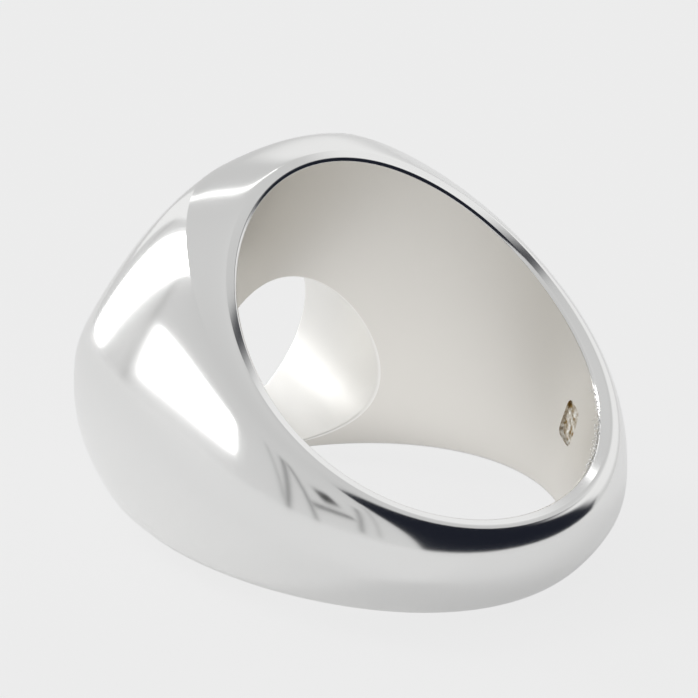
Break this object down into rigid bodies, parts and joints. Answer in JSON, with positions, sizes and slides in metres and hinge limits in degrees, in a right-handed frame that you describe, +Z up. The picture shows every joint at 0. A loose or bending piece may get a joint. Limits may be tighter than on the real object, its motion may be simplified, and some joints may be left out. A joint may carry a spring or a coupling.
{
  "type": "signet ring",
  "caption": "Large polished silver signet ring, flat-faced and domed, with an oval opening through the head, lying on its flank.",
  "frame": {"origin": "centre of the ring's footprint box, on the surface that it lies on", "axes": "+Z up, with the ring lying on its lower flank; +X towards the head, which is the widest part; Y across the shank"},
  "size_m": [0.0254, 0.0246, 0.0182],
  "materials": {
    "polished_silver": "mirror polished sterling silver",
    "satin_silver": "worn satin sterling silver with fine round brushing"
  },
  "bodies": {
    "root": {"finger_band": "satin_silver", "body_shell": "polished_silver", "upper_flank": "polished_silver", "lower_flank": "polished_silver", "face_plate": "polished_silver", "opening_tube": "polished_silver"}
  },
  "joints": []
}
